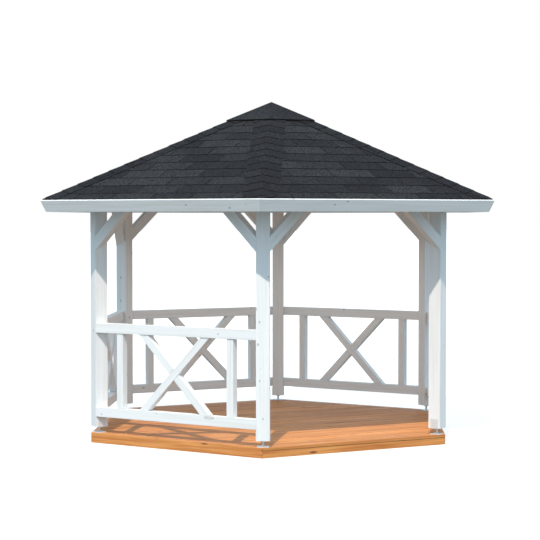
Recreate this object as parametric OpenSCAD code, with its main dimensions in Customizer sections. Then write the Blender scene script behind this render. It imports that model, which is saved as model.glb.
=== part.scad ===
// Hexagonal garden gazebo: a board deck, six timber posts on steel feet, five railing panels with a
// crossed brace, knee braces, and a six-sided shingle roof. The entrance is the open side.
// Millimetres, +Z up. The origin is the centre of the footprint on the ground, and the entrance faces -Y.

/* [Overall] */
// Diameter of the circle through the post centres
post_circle = 3650; // [3000:10:4400]
// Length of a post, from its steel foot to the top plate
post_len = 2086; // [1700:1:2600]
// Distance that the roof reaches past the rail line
roof_overhang = 414; // [250:1:600]
// Pitch of the six roof slopes
roof_pitch = 25; // [18:0.5:35]

/* [Deck] */
// Distance that the corners of the deck reach past the posts
deck_margin = 23; // [20:1:150]
// Thickness of the deck boards
deck_board_t = 28; // [20:1:40]
// Height of the bearers, and of the two rim boards that the deck boards cover
deck_frame_h = 64; // [45:1:120]
// Thickness of the rim and the bearers
deck_frame_t = 45; // [35:1:60]
// Number of bearers inside the rim
bearer_count = 7; // [3:1:9]
// Overhang of the boards past the rim, on the two sides that lie along the boards
deck_lip = 5; // [1:1:20]

/* [Posts] */
// Width of a square post
post_w = 120; // [90:1:150]

/* [Post feet] */
// Width of the base plate, along the side of the post
base_plate_w = 110; // [80:1:115]
// Depth of the base plate, away from the centre of the deck
base_plate_d = 100; // [70:1:100]
// Thickness of the base plate
base_plate_t = 5; // [4:1:10]
// Diameter of the threaded rod
rod_d = 20; // [12:1:30]
// Width of the nut across its flats
nut_w = 30; // [24:1:46]
// Height of the nut
nut_h = 12; // [8:1:20]
// Clear height from the deck to the underside of a post
foot_lift = 58; // [40:1:100]
// Thickness of the U-shaped shoe
shoe_t = 4; // [3:1:6]
// Width of the shoe's two flanges
shoe_w = 74; // [50:1:90]
// Height of the flanges up the post
shoe_h = 94; // [60:1:150]

/* [Railings] */
// Height of the top and bottom rails
rail_h = 90; // [60:1:110]
// Thickness of the rails
rail_t = 80; // [70:1:100]
// Clear height from the steel shoe to the bottom rail
rail_clear = 8; // [2:1:80]
// Height of the top rail's upper face above the deck
railing_h = 1031; // [900:1:1150]
// Width of the balusters and the crossed arms
bar_w = 70; // [40:1:80]
// Thickness of the balusters and the crossed arms, centred in the rails
bar_t = 66; // [40:1:68]
// Distance from the end of a rail to the middle of the nearest baluster
baluster_inset = 280; // [120:5:340]
// Distance between the feet of the crossed arms
cross_spread = 680; // [500:5:800]

/* [Knee braces] */
// Width of a brace
brace_w = 90; // [60:1:100]
// Thickness of a brace
brace_t = 90; // [60:1:100]
// Height that a brace reaches down the post from the top plate
brace_drop = 433; // [300:1:600]

/* [Top plates] */
// Width of the top plates
plate_w = 90; // [70:1:120]
// Height of the top plates
plate_h = 120; // [90:1:160]

/* [Roof] */
// Thickness of the roof boards
roof_board_t = 19; // [15:1:28]
// Width of the rafters
rafter_w = 60; // [45:1:80]
// Depth of the rafters, square to their slope
rafter_h = 90; // [70:1:120]
// Depth of the notch where a hip rafter crosses the outer corner of the top plates
seat_depth = 8; // [4:1:20]
// Width left on the hub's faces on each side of a rafter
rafter_gap = 1.6; // [0.6:0.1:10]
// Height of the hub
hub_h = 160; // [120:1:250]
// Thickness of the fascia boards
fascia_t = 20; // [16:1:28]
// Depth of the fascia boards, square to the slope
fascia_h = 112; // [112:1:180]

/* [Roof covering] */
// Thickness of the shingle layer
shingle_t = 6; // [4:1:10]
// Width of roof board left bare between the fascia and the lowest shingle edge
shingle_setback = 3; // [0:1:20]
// Width of a hip strip on each side of the hip
hip_strip_w = 155; // [120:1:170]
// Thickness of the hip strips
hip_strip_t = 4; // [3:1:8]
// Distance of the apex cap's corners from the centre
apex_cap_r = 495; // [450:5:600]
// Thickness of the apex cap
apex_cap_t = 5; // [4:1:10]
// Length of hip strip that is tucked under the apex cap
apex_cap_lap = 80; // [40:5:90]

/* [Hidden] */
// Joint left between two mitred pieces
mitre_gap = 0.6;
// Larger than any piece, for cutting shapes
reach = 6000;

side_a = 30;                                      // half of the angle that one side takes up
post_r = post_circle / 2;
post_out_r = post_r + post_w / 2;                 // outer face of a post
deck_half = (post_out_r + deck_margin) * cos(side_a);
deck_top = deck_frame_h + deck_board_t;
post_bottom = deck_top + foot_lift;
shoe_bottom = post_bottom - shoe_t;
plate_bottom = post_bottom + post_len;
plate_top = plate_bottom + plate_h;

// The rail line joins the outer corners of two neighbouring posts
rail_line = post_out_r * cos(side_a) + post_w / 2 * sin(side_a);
rail_half = post_out_r * sin(side_a) - post_w / 2 * cos(side_a);
bottom_rail_z = shoe_bottom + shoe_h + rail_clear;
top_rail_z = deck_top + railing_h - rail_h;
baluster_x = rail_half - baluster_inset;
plate_inner = rail_line - plate_w;

// The roof rests on the outer corners of the top plates, through the notches of the hip rafters
roof_half = rail_line + roof_overhang;
slope_len = roof_half / cos(roof_pitch);
hip_pitch = atan(tan(roof_pitch) * cos(side_a));
hip_a = atan(tan(side_a) * cos(roof_pitch));      // angle between a hip and the slope's middle line
board_under_corner = plate_top - seat_depth + rafter_h / cos(hip_pitch);
corner_drop = (roof_half - post_out_r * cos(side_a)) * tan(roof_pitch);
eave_z = board_under_corner + roof_board_t / cos(roof_pitch) - corner_drop;
hub_half = (rafter_w / 2 + rafter_gap) / tan(side_a / 2);
shingle_edge = fascia_t + shingle_setback;
cap_slope = slope_len - apex_cap_r * cos(side_a) / cos(roof_pitch);

function board_under(d) = eave_z + (roof_half - d) * tan(roof_pitch) - roof_board_t / cos(roof_pitch);

side_names = ["front", "front_right", "back_right", "back", "back_left", "front_left"];
post_names = ["front_right", "right", "back_right", "back_left", "left", "front_left"];
railed = ["front_right", "back_right", "back", "back_left", "front_left"];

paint = [0.94, 0.95, 0.96];
deck_wood = [0.86, 0.60, 0.40];
zinc = [0.62, 0.64, 0.66];
slate_grey = [0.20, 0.21, 0.23];

// ---- placing ----

function index_of(name, names) = search([name], names)[0];

// Turns a shape made on the front side, or at the front of a post, to its own place
module on_side(name) {
    rotate([0, 0, 2 * side_a * index_of(name, side_names)]) children();
}

module at_post(name) {
    rotate([0, 0, 2 * side_a * index_of(name, post_names) + side_a]) children();
}

// Outline with two flats across Y
module hexagon(half) {
    circle(r = half / cos(side_a), $fn = 6);
}

// The sixth of the plan that belongs to the front side, clear of its neighbours by the gap
module sixth(gap) {
    polygon([
        [0, -gap],
        [(reach - gap) * tan(side_a), -reach],
        [-(reach - gap) * tan(side_a), -reach]
    ]);
}

module sixth_prism(gap) {
    linear_extrude(reach) sixth(gap);
}

// Front slope: X along the eave, Y up the slope from the fascia's outer face, Z square to the slope
module on_slope() {
    translate([0, -roof_half, eave_z]) rotate([roof_pitch, 0, 0]) children();
}

module slope_layer(from, to, low, high) {
    on_slope() translate([-reach / 2, from, low]) cube([reach, to - from, high - low]);
}

// Everything under the roof boards and inside the fascia of the front side
module under_front_slope() {
    slope_layer(fascia_t, slope_len + reach / 2, -reach / 2, -roof_board_t);
}

// ---- deck ----

// The two sides that lie along the deck boards. On the other four the rim covers the ends of the boards.
function along_boards(name) = name == "front" || name == "back";

// Plan of one side's edge, of one width, between two sector lines
module deck_edge(name, gap, width) {
    on_side(name) intersection() {
        sixth(gap);
        translate([-reach / 2, -deck_half]) square([reach, width]);
    }
}

module deck_boards() {
    color(deck_wood) translate([0, 0, deck_frame_h]) linear_extrude(deck_board_t) difference() {
        hexagon(deck_half);
        for (name = side_names) if (!along_boards(name)) deck_edge(name, 0, deck_frame_t + mitre_gap);
    }
}

module deck_rim() {
    color(deck_wood) for (name = side_names) {
        if (along_boards(name)) {
            linear_extrude(deck_frame_h) difference() {
                deck_edge(name, mitre_gap, deck_lip + deck_frame_t);
                deck_edge(name, 0, deck_lip);
            }
        } else {
            linear_extrude(deck_top) deck_edge(name, mitre_gap, deck_frame_t);
        }
    }
}

module deck_bearers() {
    inset = deck_frame_t + mitre_gap;
    pitch = 2 * (deck_half - inset) / cos(side_a) / (bearer_count + 1);
    color(deck_wood) for (i = [1 : bearer_count]) {
        linear_extrude(deck_frame_h) intersection() {
            hexagon(deck_half - inset);
            square([reach, 2 * (deck_half - deck_lip - inset)], center = true);
            translate([(i - (bearer_count + 1) / 2) * pitch, 0]) square([deck_frame_t, reach], center = true);
        }
    }
}

// ---- posts and feet ----

module post(name) {
    color(paint) at_post(name) translate([-post_w / 2, -post_out_r, post_bottom]) {
        cube([post_w, post_w, post_len]);
    }
}

module foot() {
    translate([-base_plate_w / 2, -base_plate_d / 2, deck_top]) {
        cube([base_plate_w, base_plate_d, base_plate_t]);
    }
    translate([0, 0, deck_top]) cylinder(d = rod_d, h = foot_lift - shoe_t / 2, $fn = 32);
    translate([0, 0, shoe_bottom - nut_h]) cylinder(d = nut_w / cos(side_a), h = nut_h, $fn = 6);
    translate([-post_w / 2 - shoe_t, -shoe_w / 2, shoe_bottom]) cube([post_w + 2 * shoe_t, shoe_w, shoe_t]);
    for (x = [-post_w / 2 - shoe_t, post_w / 2]) {
        translate([x, -shoe_w / 2, shoe_bottom]) cube([shoe_t, shoe_w, shoe_h]);
    }
}

module post_feet() {
    color(zinc) for (name = post_names) {
        at_post(name) translate([0, -post_r, 0]) foot();
    }
}

// ---- railings and braces ----

// Plan of the gap between two posts, from the rail line inwards
module between_posts(depth) {
    polygon([
        [-rail_half, -rail_line],
        [rail_half, -rail_line],
        [rail_half - depth * tan(side_a), -rail_line + depth],
        [-rail_half + depth * tan(side_a), -rail_line + depth]
    ]);
}

// Extrudes an outline drawn as seen from outside, inwards from the rail line
module from_rail_line(depth) {
    translate([0, -rail_line + depth, 0]) rotate([90, 0, 0]) linear_extrude(depth) children();
}

module crossed_arm(low, high) {
    half = bar_w / 2 / sin(atan((high - low) / cross_spread));
    polygon([
        [-cross_spread / 2 - half, low],
        [-cross_spread / 2 + half, low],
        [cross_spread / 2 + half, high],
        [cross_spread / 2 - half, high]
    ]);
}

module railing(name) {
    low = bottom_rail_z + rail_h;
    high = top_rail_z;
    color(paint) on_side(name) {
        for (z = [bottom_rail_z, top_rail_z]) {
            translate([0, 0, z]) linear_extrude(rail_h) between_posts(rail_t);
        }
        translate([0, (rail_t - bar_t) / 2, 0]) from_rail_line(bar_t) {
            for (x = [-baluster_x, baluster_x]) {
                translate([x - bar_w / 2, low]) square([bar_w, high - low]);
            }
            crossed_arm(low, high);
            mirror([1, 0]) crossed_arm(low, high);
        }
    }
}

module brace() {
    tip = plate_bottom - brace_drop;
    rise = brace_w * sqrt(2);
    intersection() {
        from_rail_line(brace_t) polygon([
            [rail_half, tip],
            [rail_half, tip + rise],
            [rail_half - brace_drop + rise, plate_bottom],
            [rail_half - brace_drop, plate_bottom]
        ]);
        linear_extrude(plate_bottom) between_posts(brace_t);
    }
}

module braces(name) {
    color(paint) on_side(name) {
        brace();
        mirror([1, 0, 0]) brace();
    }
}

// ---- roof frame ----

// The ring of top plates, its corners cut flush with the outer faces of the posts
module plate_ring() {
    difference() {
        intersection() {
            hexagon(rail_line);
            rotate([0, 0, side_a]) hexagon(post_out_r);
        }
        hexagon(plate_inner);
    }
}

module top_plates() {
    color(paint) translate([0, 0, plate_bottom]) for (name = side_names) {
        on_side(name) linear_extrude(plate_h) intersection() {
            sixth(mitre_gap);
            plate_ring();
        }
    }
}

// A bar from the hub outwards and down, its underside parallel to a slope
module rafter_bar(slope, under_eave) {
    intersection() {
        translate([0, -roof_half, under_eave]) rotate([slope, 0, 0]) {
            translate([-rafter_w / 2, -reach / 4, 0]) cube([rafter_w, reach, 2 * rafter_h]);
        }
        translate([-rafter_w / 2, -reach, 0]) cube([rafter_w, reach - hub_half, reach]);
    }
}

module plate_notch() {
    translate([0, 0, plate_bottom]) linear_extrude(plate_h) plate_ring();
}

module hip_rafter() {
    under_eave = board_under(roof_half * cos(side_a)) - rafter_h / cos(hip_pitch);
    difference() {
        intersection() {
            rotate([0, 0, side_a]) rafter_bar(hip_pitch, under_eave);
            under_front_slope();
            rotate([0, 0, 2 * side_a]) under_front_slope();
        }
        plate_notch();
    }
}

module middle_rafter() {
    difference() {
        intersection() {
            rafter_bar(roof_pitch, board_under(roof_half) - rafter_h / cos(roof_pitch));
            under_front_slope();
        }
        plate_notch();
    }
}

module hip_rafters() {
    color(paint) for (name = side_names) on_side(name) hip_rafter();
}

module middle_rafters() {
    color(paint) for (name = side_names) on_side(name) middle_rafter();
}

module roof_hub() {
    color(paint) translate([0, 0, board_under(hub_half) - hub_h]) rotate([0, 0, side_a / 2]) {
        cylinder(r = hub_half / cos(side_a / 2), h = hub_h, $fn = 12);
    }
}

// ---- roof surfaces ----

module slope_piece(gap, from, to, low, high) {
    intersection() {
        slope_layer(from, to, low, high);
        sixth_prism(gap);
    }
}

module roof_boards(name) {
    color(paint) on_side(name) slope_piece(mitre_gap, fascia_t, reach, -roof_board_t, 0);
}

module fascia(name) {
    color(paint) on_side(name) slope_piece(mitre_gap, 0, fascia_t, -fascia_h, 0);
}

module shingles(name) {
    color(slate_grey) on_side(name) slope_piece(mitre_gap, shingle_edge, reach, 0, shingle_t);
}

// Everything above a line up the front slope and under one height over it
module under_layer(from, to, high) {
    slope_layer(from, to, -reach / 2, high);
}

// Everything on the hip's side of the strip's long edge, on the front slope
module inside_strip_edge() {
    on_slope() translate([0, slope_len, 0]) rotate([0, 0, hip_a]) {
        translate([-hip_strip_w, -reach, -reach / 2]) cube([reach, 2 * reach, reach]);
    }
}

// The space under both slopes that meet at the hip on the right of the front side
module under_hip(from, to, high) {
    intersection() {
        under_layer(from, to, high);
        rotate([0, 0, 2 * side_a]) under_layer(from, to, high);
    }
}

module hip_strip() {
    difference() {
        intersection() {
            under_hip(shingle_edge, cap_slope + apex_cap_lap, shingle_t + hip_strip_t);
            inside_strip_edge();
            rotate([0, 0, 2 * side_a]) mirror([1, 0, 0]) inside_strip_edge();
        }
        under_hip(0, reach, shingle_t);
    }
}

module hip_strips() {
    color(slate_grey) for (name = side_names) on_side(name) hip_strip();
}

module under_all_slopes(from, high) {
    intersection_for (name = side_names) on_side(name) under_layer(from, reach, high);
}

module apex_cap() {
    low = shingle_t + hip_strip_t;
    color(slate_grey) difference() {
        under_all_slopes(cap_slope, low + apex_cap_t);
        under_all_slopes(0, low);
    }
}

// ---- nodes ----

deck_boards();
deck_rim();
deck_bearers();
post_feet();
for (name = post_names) post(name);
for (name = railed) railing(name);
for (name = side_names) braces(name);
top_plates();
hip_rafters();
middle_rafters();
roof_hub();
for (name = side_names) roof_boards(name);
for (name = side_names) fascia(name);
for (name = side_names) shingles(name);
hip_strips();
apex_cap();
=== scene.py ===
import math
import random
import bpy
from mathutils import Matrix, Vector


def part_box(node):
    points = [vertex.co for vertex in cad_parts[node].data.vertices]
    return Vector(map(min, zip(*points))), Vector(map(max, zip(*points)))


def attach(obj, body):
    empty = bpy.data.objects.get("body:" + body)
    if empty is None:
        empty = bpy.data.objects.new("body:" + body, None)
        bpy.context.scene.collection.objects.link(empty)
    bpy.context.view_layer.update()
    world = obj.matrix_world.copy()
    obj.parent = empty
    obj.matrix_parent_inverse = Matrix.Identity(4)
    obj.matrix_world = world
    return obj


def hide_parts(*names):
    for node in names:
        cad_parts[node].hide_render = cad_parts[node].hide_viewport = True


bl_info = {
    "name": "Hexagonal Garden Gazebo",
    "version": (1, 0, 0),
    "blender": (4, 5, 0),
    "location": "View3D > Sidebar > Gazebo",
    "description": "Builds the timber, deck, steel feet and shingle roof of a six-sided garden gazebo",
    "category": "Object",
}

import bmesh
import bpy
from bpy.props import FloatProperty, FloatVectorProperty, IntProperty, PointerProperty
from bpy.types import Operator, Panel, PropertyGroup
from mathutils import Matrix, Vector

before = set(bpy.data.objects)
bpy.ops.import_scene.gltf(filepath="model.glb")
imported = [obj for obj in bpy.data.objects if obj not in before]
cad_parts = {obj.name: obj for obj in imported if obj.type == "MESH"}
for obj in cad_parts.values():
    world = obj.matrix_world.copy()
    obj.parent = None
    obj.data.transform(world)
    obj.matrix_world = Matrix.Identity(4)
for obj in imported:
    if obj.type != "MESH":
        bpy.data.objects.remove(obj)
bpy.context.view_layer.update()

SIDES = ["front", "front_right", "back_right", "back", "back_left", "front_left"]
POSTS = ["front_right", "right", "back_right", "back_left", "left", "front_left"]
RAILED = [side for side in SIDES if side != "front"]
SIDE_TURN = math.radians(60)
HALF_SIDE = math.radians(30)
CORNER_TURNS = [Matrix.Rotation(SIDE_TURN * number + HALF_SIDE, 4, "Z") for number in range(6)]


# ---- sizes that the frame gives, in metres ----


def outer_edge(node):
    """How far out towards the entrance a node reaches, and how high it is there."""
    points = [vertex.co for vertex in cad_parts[node].data.vertices]
    edge = min(point.y for point in points)
    return -edge, max(point.z for point in points if point.y < edge + 1e-4)


def roof_slope():
    """The pitch of the roof, from the largest face of its boards."""
    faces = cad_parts["roof_boards_front"].data.polygons
    return math.acos(abs(max(faces, key=lambda face: face.area).normal.z))


PITCH = roof_slope()
EAVE_OUT, EAVE_Z = outer_edge("fascia_front")
SLOPE_LENGTH = EAVE_OUT / math.cos(PITCH)
SHINGLE_EDGE = (EAVE_OUT - outer_edge("shingles_front")[0]) / math.cos(PITCH)
DECK_LOW, DECK_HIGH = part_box("deck_boards")
DECK_HALF = DECK_HIGH.y
POST_LOW, POST_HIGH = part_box("post_right")
POST_WIDTH = POST_HIGH.x - POST_LOW.x
POST_RADIUS = (POST_HIGH.x + POST_LOW.x) / 2
RAIL_LOW, RAIL_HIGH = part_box("railing_back")
RAIL_THICK = RAIL_HIGH.y - RAIL_LOW.y

# Sizes too small for the frame to show, in metres.
BOARD_THICK = 0.019
MITRE_GAP = 0.0006


def linear(code):
    """An sRGB hex colour as linear red, green and blue."""
    parts = [int(code[i : i + 2], 16) / 255 for i in (0, 2, 4)]
    return tuple(p / 12.92 if p <= 0.04045 else ((p + 0.055) / 1.055) ** 2.4 for p in parts)


def opaque(rgb):
    return (*rgb, 1.0)


def size(name, description, default):
    return FloatProperty(
        name=name, description=description, default=default, min=0, unit="LENGTH", precision=4
    )


def angle(name, description, degrees):
    return FloatProperty(
        name=name, description=description, default=math.radians(degrees), subtype="ANGLE"
    )


def power(name, description, default):
    return FloatProperty(name=name, description=description, default=default, min=0)


def colour(name, description, code):
    return FloatVectorProperty(
        name=name, description=description, default=linear(code), min=0, max=1, size=3, subtype="COLOR"
    )


# ---- settings ----


class GazeboTimber(PropertyGroup):
    """Sizes and finish of the painted timber"""

    arris: size("Arris", "Width of the eased edges on the painted timber", 0.002)
    rail_height: size("Rail height", "Height of a railing's top and bottom rails", 0.09)
    bar_width: size("Bar width", "Width of the balusters and the crossed arms", 0.07)
    bar_thickness: size("Bar thickness", "Thickness of the balusters and the crossed arms", 0.066)
    baluster_inset: size("Baluster inset", "From a rail's end to the middle of the nearest baluster", 0.28)
    cross_spread: size("Cross spread", "Distance between the feet of the crossed arms", 0.68)
    lap_joint: size("Lap joint", "Width of the fine line where two pieces of a railing meet", 0.0012)
    paint: colour("Paint", "White paint where it covers fully", "F0F2F3")
    thin_paint: colour("Thin paint", "Paint over the raised grain, where it dries thinner", "E7E7E4")
    knot: colour("Knot", "Paint over a knot", "B6B6B4")


class GazeboDeck(PropertyGroup):
    """Sizes and finish of the deck"""

    boards: IntProperty(name="Boards", description="Number of deck boards across the deck", default=22, min=2)
    board_gap: size("Board gap", "Open joint between two deck boards", 0.005)
    arris: size("Arris", "Width of the eased edges on the deck boards", 0.0035)
    rim: size("Rim", "Thickness of the rim boards and their joint to the deck boards", 0.0456)
    screw_edge: size("Screw edge", "From the edge of a deck board to its screws", 0.028)
    screw_spacing: size("Screw spacing", "Distance between the bearers that hold the screws", 0.455)
    light: colour("Early wood", "Oiled softwood between the growth rings", "E29C58")
    dark: colour("Late wood", "Oiled softwood in the growth rings", "BC7036")
    knot: colour("Knot", "A knot under the oil", "7A4626")


class GazeboRoof(PropertyGroup):
    """Sizes and finish of the roof"""

    first_course: size("First course", "Height of the lowest shingle course that shows", 0.118)
    course: size("Course", "Height of the other shingle courses that shows", 0.174)
    tab: size("Tab", "Width of a shingle's tab", 0.43)
    slot: size("Slot", "Width of the joint between two tabs", 0.01)
    butt: size("Butt", "Thickness that a shingle's lower edge shows", 0.0055)
    hip_piece: size("Hip piece", "Length of a hip piece that shows", 0.167)
    hip_start: size("Hip start", "Length of the lowest hip piece beyond the corner of the eaves", 0.103)
    hip_width: size("Hip width", "Width of a hip piece on each side of the hip", 0.155)
    cap_reach: size("Cap reach", "Distance of the apex cap's corners from the centre", 0.495)
    lining_board: size("Lining board", "Width of the boards that line the roof", 0.096)
    lining_groove: size("Lining groove", "Width of the eased edges of the lining boards", 0.004)
    dark: colour("Dark granules", "The darkest tabs", "1B1B1E")
    light: colour("Light granules", "The lightest tabs", "2A2B2D")
    # Bare bitumen at the felt's edges, and painted shade too: it goes on every face that does not face up,
    # drawing the shadow lines at butts, slots and the apex cap.
    cut: colour("Cut edge and painted shade", "Bare bitumen at the edges of the felt", "0C0C0D")


class GazeboSteel(PropertyGroup):
    """Sizes and finish of the galvanised steel"""

    plate: size("Plate", "Thickness of the base plates", 0.005)
    plate_width: size("Plate width", "Width of a base plate, along the side of the post", 0.11)
    plate_depth: size("Plate depth", "Depth of a base plate", 0.10)
    rod: size("Rod", "Diameter of the threaded rods", 0.02)
    thread: size("Thread", "Pitch of the thread", 0.0025)
    nut: size("Nut", "Width of a nut across its flats", 0.03)
    nut_height: size("Nut height", "Height of a nut", 0.012)
    shoe: size("Shoe", "Thickness of the U-shaped shoes", 0.004)
    shoe_width: size("Shoe width", "Width of a shoe's flanges", 0.074)
    shoe_height: size("Shoe height", "Height of a shoe's flanges", 0.094)
    screw: size("Screw", "Diameter of the screw heads", 0.0075)
    zinc: colour("Zinc", "Hot-dip zinc coating", "E9EAEA")


class GazeboStage(PropertyGroup):
    """Light, floor and camera"""

    camera_place: FloatVectorProperty(
        name="Camera", description="Place of the camera", default=(-7.389, -14.076, 2.111),
        subtype="TRANSLATION",
    )
    camera_turn: angle("Turn", "Direction of the view, from the entrance's", -27.644)
    camera_dip: angle("Dip", "Angle that the view dips by", 1.889)
    lens: FloatProperty(name="Lens", description="Focal length in millimetres", default=107.23, min=1)
    sun_turn: angle("Sun turn", "Direction of the key light, from the entrance's", -36.8)
    sun_height: angle("Sun height", "Height of the key light", 53.2)
    sun_power: power("Sun power", "Strength of the key light", 3.05)
    sun_colour: colour("Sun colour", "Colour of the key light", "FFF3E6")
    fill_power: power("Fill power", "Strength of the fill light", 1.14)
    room_power: power("Room power", "Strength of the soft lamp under the roof", 7)
    room_width: size("Room lamp", "Width of the soft lamp under the roof", 2.8)
    room_height: size("Room lamp height", "Height of the soft lamp under the roof", 1.9)
    room_colour: colour("Room colour", "Colour of the soft lamp under the roof", "FFF6E6")
    fill_above: colour("Fill from above", "Colour of the fill light above the floor's level", "D0E9FB")
    fill_below: colour("Fill from below", "Colour of the fill light below the floor's level", "7C8484")
    floor: colour("Floor", "Pale studio floor", "A9A8A6")
    floor_glow: power("Floor glow", "Light that the floor sheet passes", 0.72)


# ---- nodes ----


def add(tree, kind, settings=None, inputs=None):
    """Adds one node to a tree, sets its options, and fills or links its inputs."""
    made = tree.nodes.new(kind)
    for name, value in (settings or {}).items():
        setattr(made, name, value)
    for name, value in (inputs or {}).items():
        if isinstance(value, bpy.types.NodeSocket):
            tree.links.new(value, made.inputs[name])
        else:
            made.inputs[name].default_value = value
    return made


def new_tree(name, inputs):
    """A Geometry Nodes tree with named inputs. Returns it with its inputs and a function that closes it."""
    tree = bpy.data.node_groups.new(name, "GeometryNodeTree")
    tree.interface.new_socket("Geometry", in_out="INPUT", socket_type="NodeSocketGeometry")
    for label, kind in inputs:
        tree.interface.new_socket(label, in_out="INPUT", socket_type="NodeSocket" + kind)
    tree.interface.new_socket("Geometry", in_out="OUTPUT", socket_type="NodeSocketGeometry")
    given = tree.nodes.new("NodeGroupInput").outputs

    def close(instances):
        real = add(tree, "GeometryNodeRealizeInstances", inputs={"Geometry": instances})
        done = add(
            tree, "GeometryNodeSetMaterial", inputs={0: real.outputs[0], "Material": given["Material"]}
        )
        tree.links.new(done.outputs[0], tree.nodes.new("NodeGroupOutput").inputs[0])
        return tree

    return tree, given, close


def toned_apart(tree, copies, seed):
    """Gives each copy its own tone, which its finish reads."""
    tone = add(tree, "FunctionNodeRandomValue", {"data_type": "FLOAT"}, {"Seed": seed})
    return add(
        tree, "GeometryNodeStoreNamedAttribute", {"data_type": "FLOAT", "domain": "INSTANCE"},
        {"Geometry": copies.outputs[0], "Name": "tone", "Value": tone.outputs[1]},
    ).outputs[0]


def row_tree():
    """Repeats the piece it is given in a row."""
    tree, given, close = new_tree(
        "Row of pieces",
        [
            ("Count", "Int"), ("Start", "Vector"), ("Step", "Vector"), ("Seed", "Int"),
            ("Material", "Material"),
        ],
    )
    places = add(
        tree, "GeometryNodeMeshLine", {"mode": "OFFSET"},
        {"Count": given["Count"], "Start Location": given["Start"], "Offset": given["Step"]},
    )
    copies = add(
        tree, "GeometryNodeInstanceOnPoints",
        inputs={"Points": places.outputs[0], "Instance": given["Geometry"]},
    )
    return close(toned_apart(tree, copies, given["Seed"]))


def course_tree():
    """Lays the tab it is given in courses up a slope, each course shifted by half a tab."""
    tree, given, close = new_tree(
        "Shingle courses",
        [
            ("Courses", "Int"), ("Tabs", "Int"), ("Tab", "Float"), ("Edge", "Float"),
            ("First course", "Float"), ("Course", "Float"), ("Wander", "Float"), ("Shift", "Float"),
            ("Tilt", "Float"), ("Seed", "Int"), ("Material", "Material"),
        ],
    )
    made = {socket.name: socket for socket in given}
    made["number"] = add(tree, "GeometryNodeInputIndex").outputs[0]
    # Each line works out one value from the tree's inputs and the lines above it.
    steps = [
        ("share", "DIVIDE", "number", "Tabs"),
        ("row", "FLOOR", "share"),
        ("column", "MODULO", "number", "Tabs"),
        ("odd", "MODULO", "row", 2.0),
        ("half", "MULTIPLY", "odd", 0.5),
        ("middle", "MULTIPLY", "Tabs", 0.5),
        ("from middle", "SUBTRACT", "column", "middle"),
        ("tabs across", "ADD", "from middle", "half"),
        ("across", "MULTIPLY", "tabs across", "Tab"),
        ("shifted", "ADD", "across", "Shift"),
        ("short", "SUBTRACT", "Course", "First course"),
        ("rise", "MULTIPLY", "row", "Course"),
        ("lowered", "SUBTRACT", "rise", "short"),
        ("up", "MAXIMUM", "lowered", 0.0),
        ("height", "ADD", "up", "Edge"),
        ("count", "MULTIPLY", "Courses", "Tabs"),
    ]
    for name, operation, *terms in steps:
        inputs = {place: made.get(term, term) for place, term in enumerate(terms)}
        made[name] = add(tree, "ShaderNodeMath", {"operation": operation}, inputs).outputs[0]
    wander = add(
        tree, "FunctionNodeRandomValue", {"data_type": "FLOAT"},
        {2: -1.0, "ID": made["row"], "Seed": given["Seed"]},
    )
    across = add(
        tree, "ShaderNodeMath", {"operation": "MULTIPLY_ADD"},
        {0: wander.outputs[1], 1: given["Wander"], 2: made["shifted"]},
    )
    place = add(tree, "ShaderNodeCombineXYZ", inputs={"X": across.outputs[0], "Y": made["height"]})
    points = add(
        tree, "GeometryNodePoints", inputs={"Count": made["count"], "Position": place.outputs[0]}
    )
    lean = add(tree, "ShaderNodeCombineXYZ", inputs={"X": given["Tilt"]})
    copies = add(
        tree, "GeometryNodeInstanceOnPoints",
        inputs={"Points": points.outputs[0], "Instance": given["Geometry"], "Rotation": lean.outputs[0]},
    )
    return close(toned_apart(tree, copies, given["Seed"]))


def fixing_tree():
    """Sets one fixing at each point it is given, facing the way that the point's own attribute says."""
    tree, given, close = new_tree("Fixings", [("Fixing", "Object"), ("Material", "Material")])
    fixing = add(tree, "GeometryNodeObjectInfo", inputs={"Object": given["Fixing"]})
    facing = add(tree, "GeometryNodeInputNamedAttribute", {"data_type": "FLOAT_VECTOR"}, {"Name": "facing"})
    turn = add(tree, "FunctionNodeAlignRotationToVector", {"axis": "Z"}, {"Vector": facing.outputs[0]})
    copies = add(
        tree, "GeometryNodeInstanceOnPoints",
        inputs={
            "Points": given["Geometry"], "Instance": fixing.outputs["Geometry"], "Rotation": turn.outputs[0],
        },
    )
    return close(copies.outputs[0])


def grown(mesh, tree, values):
    """The plain mesh that a tree makes from a mesh, with the tree's inputs set by their identifiers."""
    holder = bpy.data.objects.new("holder", mesh)
    bpy.context.scene.collection.objects.link(holder)
    nodes = holder.modifiers.new("Nodes", "NODES")
    nodes.node_group = tree
    for item in tree.interface.items_tree:
        if item.in_out == "INPUT" and item.name in values:
            nodes[item.identifier] = values[item.name]
    graph = bpy.context.evaluated_depsgraph_get()
    made = bpy.data.meshes.new_from_object(holder.evaluated_get(graph))
    holder.modifiers.remove(nodes)
    bpy.data.objects.remove(holder)
    bpy.data.meshes.remove(mesh)
    return made


# ---- materials ----


def blank_material(name):
    made = bpy.data.materials.new(name)
    made.use_nodes = True
    tree = made.node_tree
    tree.nodes.clear()
    shader = add(tree, "ShaderNodeBsdfPrincipled")
    add(tree, "ShaderNodeOutputMaterial", inputs={"Surface": shader.outputs[0]})
    return made, tree, shader


def member_place(tree, scale):
    """A place inside a member, measured along and across its own grain, different in every member."""
    grain = add(tree, "ShaderNodeAttribute", {"attribute_name": "grain"})
    tone = add(tree, "ShaderNodeAttribute", {"attribute_name": "tone"})
    own = add(
        tree, "ShaderNodeVectorMath", {"operation": "MULTIPLY_ADD"},
        {0: tone.outputs["Vector"], 1: (31.0, 17.0, 23.0), 2: grain.outputs["Vector"]},
    )
    places = [add(tree, "ShaderNodeMapping", inputs={0: own.outputs[0], "Scale": s}) for s in scale]
    return tone, [place.outputs[0] for place in places]


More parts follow.
